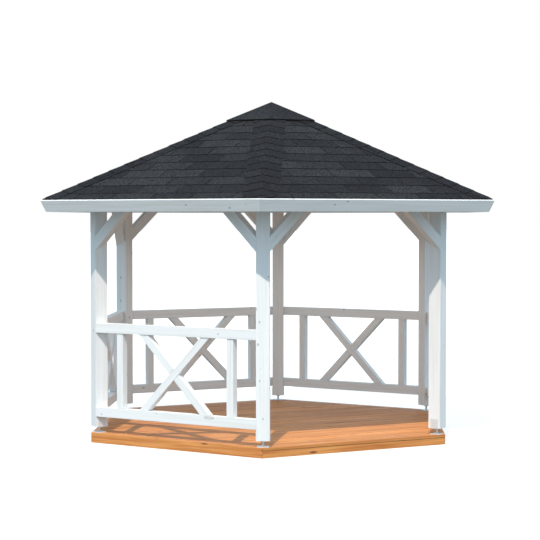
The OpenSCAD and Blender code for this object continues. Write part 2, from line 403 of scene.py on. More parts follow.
def coated(tree, base, coats):
    """Lays colours over a base. Each comes in up to its strength, as its pattern goes from start to full."""
    under = base
    for pattern, start, full, strength, over in coats:
        cover = add(tree, "ShaderNodeMapRange", inputs={0: pattern, 1: start, 2: full, 4: strength})
        inputs = {0: cover.outputs[0], 6: under, 7: over}
        under = add(tree, "ShaderNodeMix", {"data_type": "RGBA"}, inputs).outputs[2]
    return under


def painted_softwood(look):
    """Opaque white paint brushed on planed softwood. It dries semi-matt, the late wood stands up through it
    as fine ridges, and it stays greyer over the knots."""
    made, tree, shader = blank_material("Painted softwood")
    # Growth rings 3 to 5 mm apart run the length of a member; broad bands of 25 mm keep the grain readable
    # from afar. Knots of about 12 mm lie a foot apart.
    _, (rings, bands, knots) = member_place(tree, [(2.5, 260, 260), (1.3, 42, 42), (5.0, 9.0, 9.0)])
    ring = add(tree, "ShaderNodeTexNoise", inputs={"Vector": rings, "Scale": 1.0, "Detail": 2.0}).outputs[0]
    band = add(tree, "ShaderNodeTexNoise", inputs={"Vector": bands, "Scale": 1.0, "Detail": 3.0}).outputs[0]
    knot = add(tree, "ShaderNodeTexVoronoi", inputs={"Vector": knots, "Scale": 1.0}).outputs["Distance"]
    # One long oval branch knot lies in the lower rail to the left of the entrance.
    place = add(tree, "ShaderNodeTexCoord").outputs["Object"]
    oval = add(
        tree, "ShaderNodeMapping", {"vector_type": "TEXTURE"},
        {
            "Vector": place, "Location": (-1.2435, -1.1711, 0.3203), "Rotation": (0, 0, math.radians(-60)),
            "Scale": (0.056, 0.03, 0.014),
        },
    ).outputs[0]
    spread = add(tree, "ShaderNodeVectorMath", {"operation": "LENGTH"}, {0: oval}).outputs["Value"]
    thin, dull = opaque(look.thin_paint), opaque(look.knot)
    paint = coated(
        tree, opaque(look.paint),
        [
            (band, 0.42, 0.72, 1.0, thin), (ring, 0.5, 0.75, 0.3, thin), (knot, 0.085, 0.05, 1.0, dull),
            (spread, 1.05, 0.95, 0.75, dull), (spread, 0.8, 0.65, 0.5, thin),
        ],
    )
    tree.links.new(paint, shader.inputs["Base Color"])
    gloss = add(tree, "ShaderNodeMapRange", inputs={0: band, 1: 0.3, 2: 0.7, 3: 0.5, 4: 0.62})
    tree.links.new(gloss.outputs[0], shader.inputs["Roughness"])
    shader.inputs["IOR"].default_value = 1.48
    relief = add(tree, "ShaderNodeBump", inputs={"Strength": 0.12, "Distance": 0.0005, "Height": ring})
    relief = add(
        tree, "ShaderNodeBump",
        inputs={"Strength": 0.3, "Distance": 0.002, "Height": knot, "Normal": relief.outputs[0]},
    )
    tree.links.new(relief.outputs[0], shader.inputs["Normal"])
    return made


def oiled_decking(look):
    """Planed softwood decking under a pigmented oil. The oil darkens the late wood and the knots, leaves the
    pores open, and each board takes it a little differently."""
    made, tree, shader = blank_material("Oiled softwood decking")
    # Growth rings 3 to 6 mm apart run the length of a board, broad bands of 20 mm keep the grain readable
    # from afar, and knots of about 10 mm lie a foot apart.
    tone, (rings, bands, knots) = member_place(tree, [(2.6, 210, 210), (1.5, 48, 48), (2.6, 9.5, 9.5)])
    ring = add(tree, "ShaderNodeTexNoise", inputs={"Vector": rings, "Scale": 1.0, "Detail": 2.0}).outputs[0]
    band = add(
        tree, "ShaderNodeTexNoise", inputs={"Vector": bands, "Scale": 1.0, "Detail": 4.0, "Distortion": 0.6}
    ).outputs[0]
    knot = add(tree, "ShaderNodeTexVoronoi", inputs={"Vector": knots, "Scale": 1.0}).outputs["Distance"]
    late, branch = opaque(look.dark), opaque(look.knot)
    wood = coated(
        tree, opaque(look.light),
        [(band, 0.4, 0.68, 1.0, late), (ring, 0.5, 0.75, 0.4, late), (knot, 0.13, 0.05, 1.0, branch)],
    )
    board = add(tree, "ShaderNodeMapRange", inputs={0: tone.outputs["Fac"], 3: 0.77, 4: 1.12})
    wood = add(tree, "ShaderNodeHueSaturation", inputs={"Value": board.outputs[0], "Color": wood})
    tree.links.new(wood.outputs[0], shader.inputs["Base Color"])
    gloss = add(tree, "ShaderNodeMapRange", inputs={0: band, 1: 0.3, 2: 0.7, 3: 0.48, 4: 0.64})
    tree.links.new(gloss.outputs[0], shader.inputs["Roughness"])
    shader.inputs["IOR"].default_value = 1.47
    relief = add(tree, "ShaderNodeBump", inputs={"Strength": 0.35, "Distance": 0.0008, "Height": ring})
    tree.links.new(relief.outputs[0], shader.inputs["Normal"])
    return made


def bitumen_shingle(look):
    """Bitumen felt faced with crushed slate. The granules break the light up into a matt speckle, and no two
    tabs carry the same mix of them."""
    made, tree, shader = blank_material("Slate-faced bitumen felt")
    place = add(tree, "ShaderNodeTexCoord").outputs["Object"]
    tone = add(tree, "ShaderNodeAttribute", {"attribute_name": "tone"}).outputs["Fac"]
    # Granules are 1 to 2 mm. Clumps of them, 15 mm across, show from the garden, and the second noise runs
    # from the clumps down to the granules.
    fine = add(tree, "ShaderNodeTexNoise", inputs={"Vector": place, "Scale": 600.0, "Detail": 1.0}).outputs[0]
    clump = add(
        tree, "ShaderNodeTexNoise", inputs={"Vector": place, "Scale": 65.0, "Detail": 6.0, "Roughness": 0.78}
    ).outputs[0]
    cloud = add(tree, "ShaderNodeTexNoise", inputs={"Vector": place, "Scale": 2.6, "Detail": 2.0}).outputs[0]
    mix = add(tree, "ShaderNodeMath", {"operation": "MULTIPLY_ADD"}, {0: cloud, 1: 0.9, 2: -0.45}).outputs[0]
    mix = add(tree, "ShaderNodeMath", {"operation": "ADD", "use_clamp": True}, {0: tone, 1: mix}).outputs[0]
    felt = coated(tree, opaque(look.dark), [(mix, 0.0, 1.0, 1.0, opaque(look.light))])
    speckle = add(tree, "ShaderNodeMapRange", inputs={0: clump, 1: 0.41, 2: 0.59, 3: 0.1, 4: 2.1})
    felt = add(tree, "ShaderNodeHueSaturation", inputs={"Value": speckle.outputs[0], "Color": felt})
    # The granules lie only on the upper face. Every face that does not face up is painted near-black: partly
    # the bare bitumen of a cut edge, partly painted shade that draws a dark shadow line at every butt and
    # slot and under the apex cap.
    facing = add(tree, "ShaderNodeNewGeometry").outputs["True Normal"]
    upward_or_painted_shade = add(tree, "ShaderNodeSeparateXYZ", inputs={0: facing}).outputs["Z"]
    felt = coated(tree, opaque(look.cut), [(upward_or_painted_shade, 0.6, 0.75, 1.0, felt.outputs[0])])
    tree.links.new(felt, shader.inputs["Base Color"])
    shader.inputs["Roughness"].default_value = 0.92
    shader.inputs["Specular IOR Level"].default_value = 0.15
    relief = add(tree, "ShaderNodeBump", inputs={"Strength": 0.6, "Distance": 0.0015, "Height": fine})
    relief = add(
        tree, "ShaderNodeBump",
        inputs={"Strength": 0.5, "Distance": 0.003, "Height": clump, "Normal": relief.outputs[0]},
    )
    tree.links.new(relief.outputs[0], shader.inputs["Normal"])
    return made


def hot_dip_zinc(look):
    """Steel dipped in molten zinc, which sets in dull flat crystals about 10 mm across."""
    made, tree, shader = blank_material("Hot-dip galvanised steel")
    place = add(tree, "ShaderNodeTexCoord").outputs["Object"]
    crystal = add(tree, "ShaderNodeTexVoronoi", inputs={"Vector": place, "Scale": 100.0}).outputs["Color"]
    shade = opaque([part * 0.85 for part in look.zinc])
    zinc = coated(tree, shade, [(crystal, 0.0, 1.0, 1.0, opaque(look.zinc))])
    tree.links.new(zinc, shader.inputs["Base Color"])
    gloss = add(tree, "ShaderNodeMapRange", inputs={0: crystal, 3: 0.38, 4: 0.55})
    tree.links.new(gloss.outputs[0], shader.inputs["Roughness"])
    shader.inputs["Metallic"].default_value = 0.25
    return made


finishes = {}


def finish_of(slot):
    """The material for one slot, made once."""
    scene = bpy.context.scene
    makers = {
        "white_paint": (painted_softwood, scene.gazebo_timber),
        "deck_wood": (oiled_decking, scene.gazebo_deck),
        "shingle": (bitumen_shingle, scene.gazebo_roof),
        "zinc": (hot_dip_zinc, scene.gazebo_steel),
    }
    if slot not in finishes:
        maker, look = makers[slot]
        finishes[slot] = maker(look)
    return finishes[slot]


# ---- members ----


class Stock:
    """Collects finished members into one mesh. Each vertex keeps its place in its member's grain."""

    def __init__(self, seed, tones=1.0):
        self.points, self.faces, self.grain, self.tone = [], [], [], []
        self.random, self.tones = random.Random(seed), tones

    def add(self, member, place=None, along=(1, 0, 0), side=(0, 1, 0)):
        """Adds a bmesh, moved to its place. along is its grain and side the width of it, before the move."""
        place = place or Matrix.Identity(4)
        along = Vector(along).normalized()
        third = along.cross(Vector(side)).normalized()
        axes = (along, third.cross(along), third)
        shift = Vector([self.random.uniform(0, 9) for _ in range(3)])
        tone, start = self.random.random() * self.tones, len(self.points)
        member.verts.index_update()
        for vertex in member.verts:
            self.points.append(tuple(place @ vertex.co))
            self.grain.append(Vector([vertex.co.dot(axis) for axis in axes]) + shift)
            self.tone.append(tone)
        for face in member.faces:
            self.faces.append([start + vertex.index for vertex in face.verts])
        member.free()

    def take(self, mesh, place=None):
        """Adds a mesh that already has its grain and tone."""
        place = place or Matrix.Identity(4)
        start, count = len(self.points), len(mesh.vertices)
        self.points += [tuple(place @ vertex.co) for vertex in mesh.vertices]
        self.faces += [[start + i for i in face.vertices] for face in mesh.polygons]
        grain, tone = mesh.attributes.get("grain"), mesh.attributes.get("tone")
        self.grain += [Vector(item.vector) for item in grain.data] if grain else [Vector()] * count
        self.tone += [item.value for item in tone.data] if tone else [0.5] * count
        bpy.data.meshes.remove(mesh)

    def mesh(self, name):
        """The members as one mesh, with the place of each vertex in its member's grain."""
        mesh = bpy.data.meshes.new(name)
        mesh.from_pydata(self.points, [], self.faces)
        grain = mesh.attributes.new("grain", "FLOAT_VECTOR", "POINT")
        grain.data.foreach_set("vector", [number for vector in self.grain for number in vector])
        return mesh

    def piece(self, name, slot, replaced):
        """The members as one finished object that stands for the CAD nodes named."""
        mesh = self.mesh(name)
        mesh.attributes.new("tone", "FLOAT", "POINT").data.foreach_set("value", self.tone)
        mesh.validate()
        mesh.update()
        if not mesh.polygons:
            raise RuntimeError(f"{name} came out empty")
        mesh.materials.append(finish_of(slot))
        made = bpy.data.objects.new(name, mesh)
        bpy.context.scene.collection.objects.link(made)
        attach(made, "root")
        if replaced:
            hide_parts(*replaced)
        return made


def ease(member, arris, steps=2):
    """Rounds every sharp edge of a bmesh."""
    if arris > 0:
        sharp = [edge for edge in member.edges if edge.is_manifold and edge.calc_face_angle(0) > 0.2]
        bmesh.ops.bevel(member, geom=sharp, offset=arris, segments=steps, affect="EDGES", clamp_overlap=True)
    return member


def cut_from(outline, depth, arris=0.0):
    """A bmesh cut to a flat outline in X and Y, depth thick along Z."""
    member = bmesh.new()
    lower = [member.verts.new((x, y, 0)) for x, y in outline]
    upper = [member.verts.new((x, y, depth)) for x, y in outline]
    member.faces.new(list(reversed(lower)))
    member.faces.new(upper)
    for i in range(len(outline)):
        j = (i + 1) % len(outline)
        member.faces.new((lower[i], lower[j], upper[j], upper[i]))
    bmesh.ops.recalc_face_normals(member, faces=member.faces)
    return ease(member, arris)


def bar(low, high, arris=0.0):
    """A straight bar between two corners of a box."""
    outline = [(low[0], low[1]), (high[0], low[1]), (high[0], high[1]), (low[0], high[1])]
    member = cut_from(outline, high[2] - low[2])
    bmesh.ops.translate(member, verts=member.verts, vec=(0, 0, low[2]))
    return ease(member, arris)


def trimmed(work, planes):
    """Cuts closed pieces off at planes. Each plane is a point and the direction that is cut away."""
    for point, away in planes:
        whole = work.verts[:] + work.edges[:] + work.faces[:]
        cut = bmesh.ops.bisect_plane(work, geom=whole, plane_co=point, plane_no=away, clear_outer=True)
        rim = [item for item in cut["geom_cut"] if isinstance(item, bmesh.types.BMEdge)]
        bmesh.ops.edgenet_fill(work, edges=rim)
    bmesh.ops.recalc_face_normals(work, faces=work.faces)


def clipped(mesh, planes):
    """A mesh of closed pieces, cut off at planes."""
    work = bmesh.new()
    work.from_mesh(mesh)
    trimmed(work, planes)
    work.to_mesh(mesh)
    work.free()
    return mesh


def as_mesh(work, name):
    mesh = bpy.data.meshes.new(name)
    work.to_mesh(mesh)
    work.free()
    return mesh


def islands(node):
    """Each separate solid of a CAD node as a clean bmesh, its flat faces whole again."""
    whole = bmesh.new()
    whole.from_mesh(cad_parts[node].data)
    bmesh.ops.remove_doubles(whole, verts=whole.verts, dist=1e-5)
    bmesh.ops.dissolve_limit(whole, angle_limit=0.01, verts=whole.verts, edges=whole.edges)
    left = set(whole.verts)
    while left:
        seed = min(left, key=lambda vertex: vertex.index)
        group, wave = {seed}, [seed]
        while wave:
            for edge in wave.pop().link_edges:
                for vertex in edge.verts:
                    if vertex not in group:
                        group.add(vertex)
                        wave.append(vertex)
        left -= group
        order = {vertex: i for i, vertex in enumerate(sorted(group, key=lambda vertex: vertex.index))}
        faces = sorted({face for vertex in group for face in vertex.link_faces}, key=lambda face: face.index)
        part = bmesh.new()
        corners = [part.verts.new(vertex.co) for vertex in order]
        for face in faces:
            part.faces.new([corners[order[vertex]] for vertex in face.verts])
        part.verts.ensure_lookup_table()
        yield part
    whole.free()


def eased_node(stock, node, arris):
    """Adds a CAD node's solids to the stock with eased edges, their grain along their longest edge."""
    for part in islands(node):
        longest = max(part.edges, key=lambda edge: edge.calc_length())
        along = longest.verts[1].co - longest.verts[0].co
        widest = max(part.faces, key=lambda face: face.calc_area())
        stock.add(ease(part, arris), along=along, side=along.cross(widest.normal))


def side_place(side):
    """Turns a piece made on the entrance side to its own side."""
    return Matrix.Rotation(SIDE_TURN * SIDES.index(side), 4, "Z")


def slope_place(side):
    """From a slope's own plane, X along the eave and Y up from it, to its place on the roof."""
    lift = Matrix.Translation((0, -EAVE_OUT, EAVE_Z)) @ Matrix.Rotation(PITCH, 4, "X")
    return side_place(side) @ lift


def mitre_planes():
    """The two upright planes that a slope's pieces are cut to, in the slope's own plane."""
    back = slope_place("front").inverted()
    planes = []
    for hand in (-1, 1):
        away = Vector((hand * math.cos(HALF_SIDE), math.sin(HALF_SIDE), 0))
        planes.append((back @ (-away * MITRE_GAP), back.to_3x3() @ away))
    return planes


# ---- operators ----


class GAZEBO_OT_deck(Operator):
    """Lays the deck boards, the rim and the bearers"""

    bl_idname = "gazebo.deck"
    bl_label = "Deck"

    def execute(self, context):
        look = context.scene.gazebo_deck
        stock = Stock(11)
        pitch = 2 * DECK_HALF / look.boards
        width = pitch - look.board_gap
        thick = DECK_HIGH.z - DECK_LOW.z
        reach = DECK_HALF / math.cos(HALF_SIDE)
        plank = Stock(12)
        plank.add(bar((-reach, 0, 0), (reach, width, thick), look.arris))
        start = (0, -DECK_HALF + pitch + look.board_gap / 2, DECK_LOW.z)
        rows = grown(
            plank.mesh("plank"), row_tree(),
            {
                "Count": look.boards - 2, "Start": start, "Step": (0, pitch, 0), "Seed": 5,
                "Material": finish_of("deck_wood"),
            },
        )
        inside = DECK_HALF - look.rim
        ends = []
        for turn in (60, 120, 240, 300):
            away = Vector((math.sin(math.radians(turn)), -math.cos(math.radians(turn)), 0))
            ends.append((away * inside, away))
        stock.take(clipped(rows, ends))
        # The two outermost boards are notched round the mitred ends of the rim.
        edge, inner = DECK_HALF - width, DECK_HALF - look.rim
        tip, notch = DECK_HALF * math.tan(HALF_SIDE), inner * math.tan(HALF_SIDE)
        heel = (inner - edge / 2) / math.cos(HALF_SIDE)
        outline = [
            (-tip, -DECK_HALF), (tip, -DECK_HALF), (notch, -inner), (heel, -edge), (-heel, -edge),
            (-notch, -inner),
        ]
        for side in ("front", "back"):
            board = cut_from(outline, thick, look.arris)
            stock.add(board, side_place(side) @ Matrix.Translation((0, 0, DECK_LOW.z)))
        stock.piece("deck_boards_laid", "deck_wood", ["deck_boards"])
        for node, seed in (("deck_rim", 13), ("deck_bearers", 14)):
            frame_stock = Stock(seed)
            eased_node(frame_stock, node, look.arris)
            frame_stock.piece(node + "_timber", "deck_wood", [node])
        return {"FINISHED"}


class GAZEBO_OT_posts(Operator):
    """Dresses the posts, knee braces, top plates, rafters and hub"""

    bl_idname = "gazebo.posts"
    bl_label = "Posts and roof frame"

    def execute(self, context):
        look = context.scene.gazebo_timber
        names = ["post_" + post for post in POSTS] + ["braces_" + side for side in SIDES]
        names += ["top_plates", "hip_rafters", "middle_rafters", "roof_hub"]
        for number, node in enumerate(names):
            stock = Stock(20 + number)
            eased_node(stock, node, look.arris)
            stock.piece(node + "_timber", "white_paint", [node])
        return {"FINISHED"}


class GAZEBO_OT_railings(Operator):
    """Joins each railing from its rails, balusters and crossed arms"""

    bl_idname = "gazebo.railings"
    bl_label = "Railings"

    def execute(self, context):
        look = context.scene.gazebo_timber
        line, thick, half = RAIL_HIGH.y, RAIL_THICK, RAIL_HIGH.x
        low, high = RAIL_LOW.z + look.rail_height, RAIL_HIGH.z - look.rail_height
        slant = thick * math.tan(HALF_SIDE)
        plan = [(-half, -line), (half, -line), (half - slant, -line + thick), (-half + slant, -line + thick)]
        deep, joint, bar_half = look.bar_thickness, look.lap_joint, look.bar_width / 2
        # The bars stand in the middle of the rails, so the rails throw a thin shadow on them.
        inner = Matrix.Translation((0, -line + (thick + deep) / 2, 0))
        upright = inner @ Matrix.Rotation(math.pi / 2, 4, "X")
        run, rise = look.cross_spread, high - low
        lean = math.hypot(run, rise)
        flat = bar_half * lean / rise
        for number, side in enumerate(RAILED):
            stock = Stock(60 + number)
            turn = side_place(side)
            for z in (RAIL_LOW.z, high):
                rail = cut_from(plan, look.rail_height, look.arris)
                stock.add(rail, turn @ Matrix.Translation((0, 0, z)))
            for hand in (-1, 1):
                x = hand * (half - look.baluster_inset)
                baluster = [
                    (x - bar_half, low + joint), (x + bar_half, low + joint),
                    (x + bar_half, high - joint), (x - bar_half, high - joint),
                ]
                post = cut_from(baluster, deep, look.arris)
                stock.add(post, turn @ upright, along=(0, 1, 0), side=(1, 0, 0))
            foot, top = low + joint, high - joint
            arm = [
                (-run / 2 - flat, foot), (-run / 2 + flat, foot),
                (run / 2 + flat, top), (run / 2 - flat, top),
            ]
            whole_arm = cut_from(arm, deep, look.arris)
            stock.add(whole_arm, turn @ upright, along=(run, rise, 0), side=(0, 0, 1))
            # The other arm is halved over the first, so outside the lap it shows as two lengths.
            centre = Vector((0, (low + high) / 2))
            first = Vector((run, rise)) / lean
            across = Vector((-first.y, first.x))
            second = Vector((-run, rise)) / lean
            wide = Vector((second.y, -second.x))
            for way in (-1, 1):
                shape = []
                for hand in (-way, way):
                    start = wide * bar_half * hand
                    reach = ((bar_half + joint) * way - start.dot(across)) / second.dot(across)
                    shape.append(centre + start + second * reach)
                level = top if way == 1 else foot
                for hand in (way, -way):
                    start = centre + wide * bar_half * hand
                    shape.append(start + second * ((level - start.y) / second.y))
                half_arm = cut_from([tuple(point) for point in shape], deep, look.arris)
                stock.add(half_arm, turn @ upright, along=(-run, rise, 0), side=(0, 0, 1))
            stock.piece(f"railing_{side}_timber", "white_paint", ["railing_" + side])
        return {"FINISHED"}


class GAZEBO_OT_roof_lining(Operator):
    """Boards the six slopes and closes them with the fascia"""

    bl_idname = "gazebo.roof_lining"
    bl_label = "Roof boards and fascia"

    def execute(self, context):
        timber, roof = context.scene.gazebo_timber, context.scene.gazebo_roof
        reach = EAVE_OUT * math.tan(HALF_SIDE)
        start = outer_edge_up_slope()
        count = math.ceil((SLOPE_LENGTH - start) / roof.lining_board)
        tree = row_tree()
        half_joint = 0.0002
        for number, side in enumerate(SIDES):
            plank = Stock(80)
            board = bar((-reach, half_joint, -BOARD_THICK), (reach, roof.lining_board - half_joint, 0))
            plank.add(board)
            mesh = plank.mesh("plank")
            work = bmesh.new()
            work.from_mesh(mesh)
            long_edges = [edge for edge in work.edges if abs(edge.verts[0].co.x - edge.verts[1].co.x) > reach]
            lower = [edge for edge in long_edges if edge.verts[0].co.z < -BOARD_THICK / 2]
            bmesh.ops.bevel(work, geom=lower, offset=roof.lining_groove, segments=1, affect="EDGES")
            work.to_mesh(mesh)
            work.free()
            rows = grown(
                mesh, tree,
                {
                    "Count": count, "Start": (0, start, 0), "Step": (0, roof.lining_board, 0),
                    "Seed": 30 + number, "Material": finish_of("white_paint"),
                },
            )
            stock = Stock(90 + number)
            stock.take(clipped(rows, mitre_planes()), slope_place(side))
            stock.piece(f"roof_boards_{side}_laid", "white_paint", ["roof_boards_" + side])
            board = Stock(100 + number)
            eased_node(board, "fascia_" + side, timber.arris * 0.7)
            board.piece(f"fascia_{side}_timber", "white_paint", ["fascia_" + side])
        return {"FINISHED"}


def outer_edge_up_slope():
    """How far up the slope the roof boards begin, behind the fascia."""
    back = slope_place("front").inverted()
    return min((back @ vertex.co).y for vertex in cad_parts["roof_boards_front"].data.vertices)


class GAZEBO_OT_shingles(Operator):
    """Lays the shingle courses on the six slopes"""

    bl_idname = "gazebo.shingles"
    bl_label = "Shingles"

    def execute(self, context):
        look = context.scene.gazebo_roof
        tree = course_tree()
        # Each tab runs on a quarter of a course under the one above. It rests on the course below, so its own
        # edge is only the upper part of the butt that shows.
        length = look.course * 1.25
        thick = look.butt * 0.62
        tilt = math.atan((look.butt - thick * 0.15) / length)
        lift, wander, shift, felt_thick, past_ridge = 0.0012, 0.018, 0.02, 0.0015, 0.2
        courses = math.ceil((SLOPE_LENGTH - SHINGLE_EDGE) / look.course) + 1
        eave = EAVE_OUT * math.tan(HALF_SIDE)
        tabs = math.ceil(2 * eave / look.tab) + 2
        for number, side in enumerate(SIDES):
            tab = bar((look.slot / 2, 0, 0), (look.tab - look.slot / 2, length, thick))
            bmesh.ops.translate(tab, verts=tab.verts, vec=(0, 0, look.butt - thick + lift))
            hand = 1 if number % 2 else -1
            rows = grown(
                as_mesh(tab, "tab"), tree,
                {
                    "Courses": courses, "Tabs": tabs, "Tab": look.tab, "Edge": SHINGLE_EDGE,
                    "First course": look.first_course, "Course": look.course, "Wander": wander,
                    "Shift": hand * shift, "Tilt": -tilt, "Seed": 40 + number,
                    "Material": finish_of("shingle"),
                },
            )
            stock = Stock(110 + number)
            stock.take(clipped(rows, mitre_planes()), slope_place(side))
            # The felt under the slots, which is the body of the courses below.
            outline = [(-eave, SHINGLE_EDGE), (eave, SHINGLE_EDGE), (0, SLOPE_LENGTH + past_ridge)]
            felt = as_mesh(cut_from(outline, felt_thick), "felt")
            stock.take(clipped(felt, mitre_planes()), slope_place(side))
            stock.piece(f"shingles_{side}_laid", "shingle", ["shingles_" + side])
        return {"FINISHED"}


class GAZEBO_OT_hips(Operator):
    """Folds the hip pieces over the six hips and caps the apex"""

    bl_idname = "gazebo.hips"
    bl_label = "Hip pieces and apex cap"

    def execute(self, context):
        look = context.scene.gazebo_roof
        apex = Vector((0, 0, EAVE_Z + EAVE_OUT * math.tan(PITCH)))
        run = EAVE_OUT / math.cos(HALF_SIDE)
        down = Vector((0, -run, -EAVE_OUT * math.tan(PITCH)))
        hip_length = down.length
        down.normalize()
        slopes = []
        for hand in (-1, 1):
            turn, lean = HALF_SIDE * hand, math.sin(PITCH)
            out = Vector((math.sin(turn) * lean, -math.cos(turn) * lean, math.cos(PITCH)))
            away = out.cross(down) * hand
            slopes.append((away if away.x * hand > 0 else -away, out))

        def section(distance, height, start, end):
            """The corners of a folded strip at one distance down the hip, from one width to another."""
            spots = []
            for width in (start, end) if start * end > 0 else (start, 0, end):
                if width == 0:
                    spots.append(apex + down * distance + Vector((0, 0, height / math.cos(PITCH))))
                else:
                    away, out = slopes[0 if width < 0 else 1]
                    spots.append(apex + down * distance + away * abs(width) + out * height)
            return spots

        def strip(stock, near, far, start, end, heights):
            """One piece between two distances down the hip, with its under and upper side at each."""
            piece = bmesh.new()
            rings = []
            for distance, (under, upper) in ((near, heights[0]), (far, heights[1])):
                lower = section(distance, under, start, end)
                higher = section(distance, upper, start, end)
                rings.append([piece.verts.new(point) for point in lower + higher[::-1]])
            count = len(rings[0])
            for i in range(count):
                j = (i + 1) % count
                piece.faces.new((rings[0][i], rings[0][j], rings[1][j], rings[1][i]))
            for ring in rings:
                for i in range(count // 2 - 1):
                    piece.faces.new((ring[i], ring[i + 1], ring[count - 2 - i], ring[count - 1 - i]))
            if far > hip_length - look.hip_width:
                trimmed(piece, eaves)
            bmesh.ops.recalc_face_normals(piece, faces=piece.faces)
            if piece.faces:
                stock.add(piece, turn)
            else:
                piece.free()

        # The hip pieces come from the darker half of the tabs. Each lies over the one below it.
        strips = Stock(130, 0.45)
        low, thick, tuck, overlap, under_cap = look.butt + 0.001, 0.004, 0.0035, 1.22, 0.06
        cap_distance = look.cap_reach / math.cos(math.atan(math.tan(PITCH) * math.cos(HALF_SIDE)))
        last = hip_length + look.hip_start
        heights = ((low - tuck, low), (low + 0.001, low + 0.001 + thick))
        width, half_slot = look.hip_width, look.slot * 0.6
        # The slots run slantwise over the hips, from right to left, after one on the left in the first row.
        first_slot, slot_start, slot_step, hip_step, slot_margin = -0.116, 0.102, -0.0265, 0.0212, 0.02
        eaves = []
        for hand in (-1, 1):
            face = Matrix.Rotation(HALF_SIDE * hand, 4, "Z") @ slope_place("front")
            eaves.append((face @ Vector((0, SHINGLE_EDGE, 0)), face.to_3x3() @ Vector((0, -1, 0))))
        for number, turn in enumerate(CORNER_TURNS):
            far, index = last, 0
            wander = hip_step * ((number + 1) % 6)
            while far > cap_distance - under_cap:
                near = far - look.hip_piece * overlap
                slot = wander + (slot_start + slot_step * index if index > 1 else first_slot)
                slotted = index == 1 or (index > 1 and index % 2 == 0)
                if slotted and abs(slot) < width - slot_margin:
                    strip(strips, near, far, -width, slot - half_slot, heights)
                    strip(strips, near, far, slot + half_slot, width, heights)
                else:
                    strip(strips, near, far, -width, width, heights)
                far -= look.hip_piece
                index += 1
        strips.piece("hip_pieces_laid", "shingle", ["hip_strips"])

        cap = Stock(140)
        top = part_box("apex_cap")[1].z
        x, y = look.cap_reach * math.sin(HALF_SIDE), -look.cap_reach * math.cos(HALF_SIDE)
        foot = top + y * math.tan(PITCH)
        # The cap's upright skirt takes the felt's near-black edge colour, a painted shadow line under the
        # cap.
        sheet, edge_lift = 0.015, 0.007
        for number in range(6):
            part = bmesh.new()
            for under, lift in ((0.0, edge_lift), (sheet, 0.0)):
                for corner in ((0, 0, top), (-x, y, foot + lift), (x, y, foot + lift)):
                    part.verts.new(Vector(corner) - Vector((0, 0, under)))
            part.verts.ensure_lookup_table()
            spots = part.verts
            part.faces.new((spots[0], spots[1], spots[2]))
            part.faces.new((spots[3], spots[5], spots[4]))
            part.faces.new((spots[1], spots[4], spots[5], spots[2]))
            cap.add(part, Matrix.Rotation(SIDE_TURN * number, 4, "Z"))
        made = cap.piece("apex_cap_laid", "shingle", ["apex_cap"])
        work = bmesh.new()
        work.from_mesh(made.data)
        bmesh.ops.remove_doubles(work, verts=work.verts, dist=1e-5)
        bmesh.ops.recalc_face_normals(work, faces=work.faces)
        work.to_mesh(made.data)
        work.free()
        return {"FINISHED"}


def turned(profile, sides, place, stock):
    """Adds a closed turned piece. profile gives radius and height, from the bottom centre to the top."""
    piece = bmesh.new()
    rings = []
    for radius, z in profile:
        if radius == 0:
            rings.append([piece.verts.new((0, 0, z))])
        else:
            angles = [2 * math.pi * i / sides for i in range(sides)]
            rings.append([piece.verts.new((radius * math.cos(a), radius * math.sin(a), z)) for a in angles])
    for below, above in zip(rings, rings[1:]):
        for i in range(sides):
            j = (i + 1) % sides
            spots = [ring[k % len(ring)] for ring, k in ((below, i), (below, j), (above, j), (above, i))]
            unique = list(dict.fromkeys(spots))
            if len(unique) > 2:
                piece.faces.new(unique)
    bmesh.ops.recalc_face_normals(piece, faces=piece.faces)
    stock.add(piece, place)


class GAZEBO_OT_feet(Operator):
    """Makes the steel feet, with their threaded rods, nuts and shoes"""

    bl_idname = "gazebo.feet"
    bl_label = "Steel feet"

    def execute(self, context):
        look = context.scene.gazebo_steel
        stock = Stock(150)
        plate_top, post = DECK_HIGH.z + look.plate, POST_LOW.z
        shoe_low = post - look.shoe
        wide, deep = look.plate_width / 2, look.plate_depth / 2
        radius, core = look.rod / 2, look.rod / 2 * 0.88
        # The thread: a flat crest a fifth of its pitch wide, between straight flanks.
        z = DECK_HIGH.z + look.plate * 0.5
        rod = [(0, z)]
        while z < shoe_low - look.thread:
            rod += [(core, z), (radius, z + look.thread * 0.4), (radius, z + look.thread * 0.6)]
            z += look.thread
        rod += [(core, z), (0, z)]
        corner, low, chamfer = look.nut / 2 / math.cos(HALF_SIDE), shoe_low - look.nut_height, 0.0015
        nut = [
            (0, low), (corner * 0.9, low), (corner, low + chamfer), (corner, shoe_low - chamfer),
            (corner * 0.9, shoe_low), (0, shoe_low),
        ]
        bead = 0.005
        weld = [(0, plate_top), (radius + bead, plate_top), (radius, plate_top + bead), (0, plate_top + bead)]
        inner, outer, bend = POST_WIDTH / 2, POST_WIDTH / 2 + look.shoe, 0.003
        top = shoe_low + look.shoe_height
        shoe = [
            (-outer, shoe_low + bend), (-outer + bend, shoe_low), (outer - bend, shoe_low),
            (outer, shoe_low + bend), (outer, top), (inner, top), (inner, post), (-inner, post),
            (-inner, top), (-outer, top),
        ]
        for turn in CORNER_TURNS:
            place = turn @ Matrix.Translation((0, -POST_RADIUS, 0))
            stock.add(bar((-wide, -deep, DECK_HIGH.z), (wide, deep, plate_top), 0.001), place)
            turned(rod, 20, place, stock)
            turned(nut, 6, place, stock)
            turned(weld, 20, place, stock)
            upright = Matrix.Translation((0, look.shoe_width / 2, 0)) @ Matrix.Rotation(math.pi / 2, 4, "X")
            stock.add(cut_from(shoe, look.shoe_width, 0.0008), place @ upright)
        stock.piece("steel_feet", "zinc", ["post_feet"])
        return {"FINISHED"}


